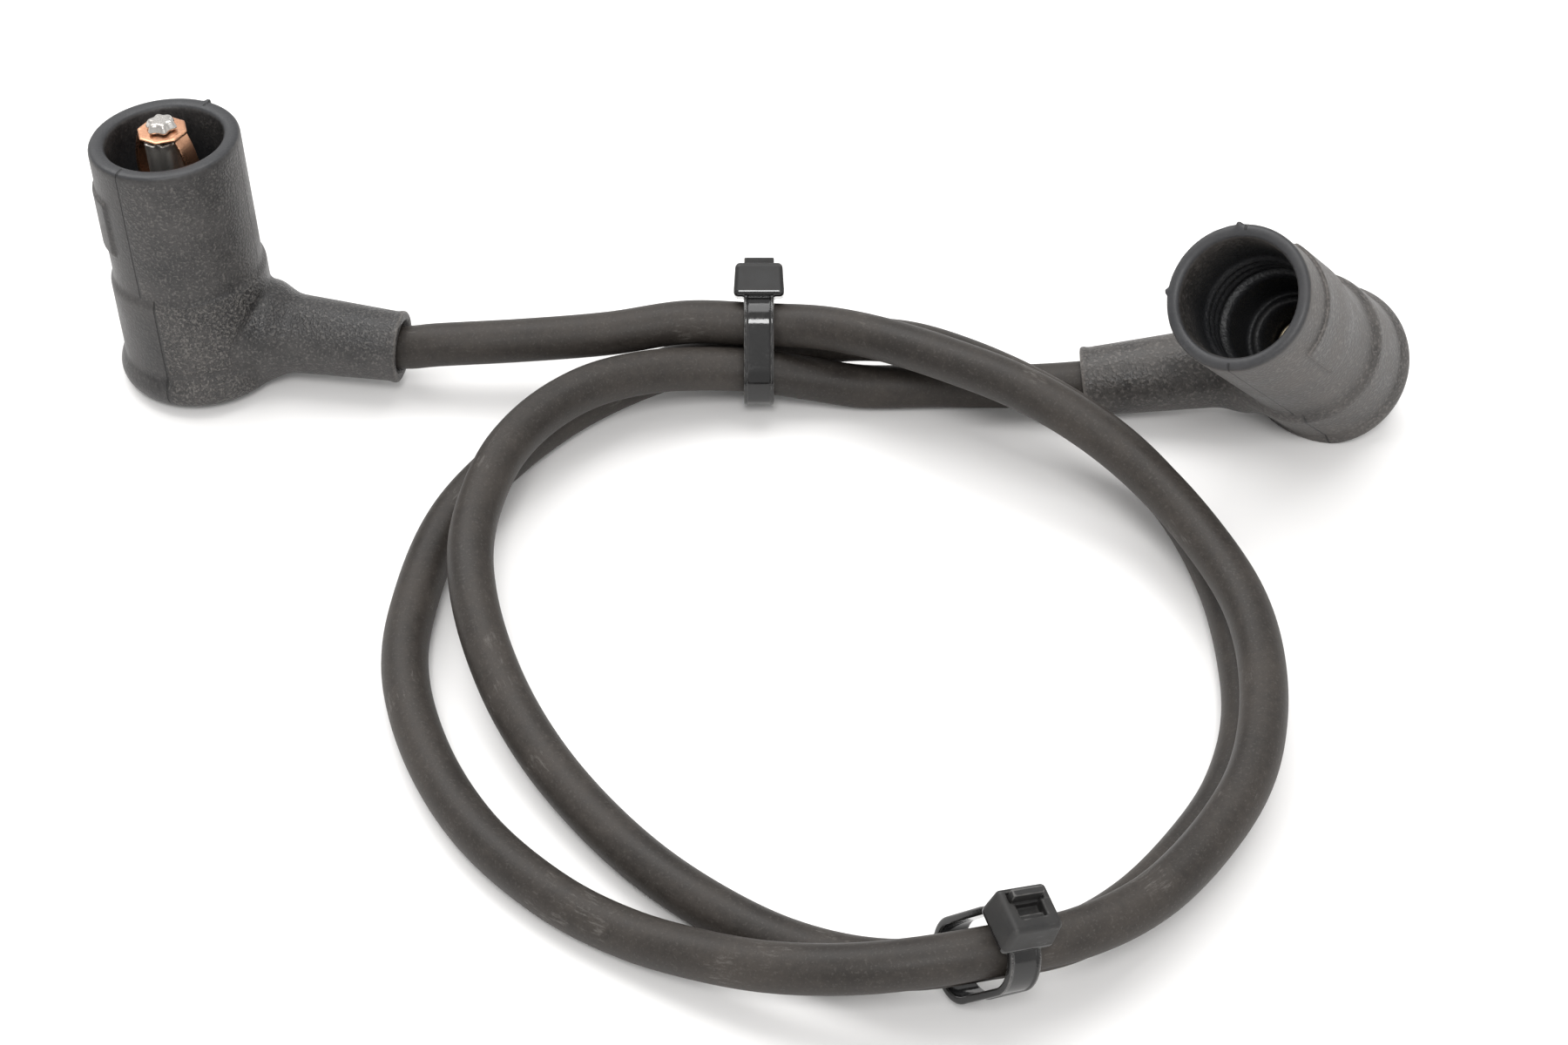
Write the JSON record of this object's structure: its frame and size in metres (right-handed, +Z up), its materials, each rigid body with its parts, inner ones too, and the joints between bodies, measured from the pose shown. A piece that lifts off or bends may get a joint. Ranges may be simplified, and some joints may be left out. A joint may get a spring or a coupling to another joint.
{
  "type": "spark plug wire",
  "caption": "Ignition lead: a rubber cable laid in turns and held by ties, with a right-angle rubber boot and a metal terminal on each end.",
  "frame": {"origin": "middle of the box round the two boots, on the plane the lead lies on", "axes": "+X from the left boot towards the right boot, +Y from the front turns towards the boots, +Z up"},
  "size_m": [0.2088, 0.1536, 0.0496],
  "materials": {
    "boot_rubber": "matte, dusty",
    "cable_rubber": "matte",
    "core_fibre": "matte",
    "tie_nylon": "glossy",
    "steel": "bright",
    "copper": "satin copper",
    "brass": "satin"
  },
  "bodies": {
    "root": {"cable": "cable_rubber", "left_boot": "boot_rubber", "left_terminal": "steel", "left_contact_spring": "copper", "left_rivet": "steel", "left_core_end": "core_fibre", "right_boot": "boot_rubber", "right_terminal": "brass", "right_retaining_clip": "steel", "right_core_end": "core_fibre", "upper_tie": "tie_nylon", "lower_tie": "tie_nylon"}
  },
  "joints": []
}
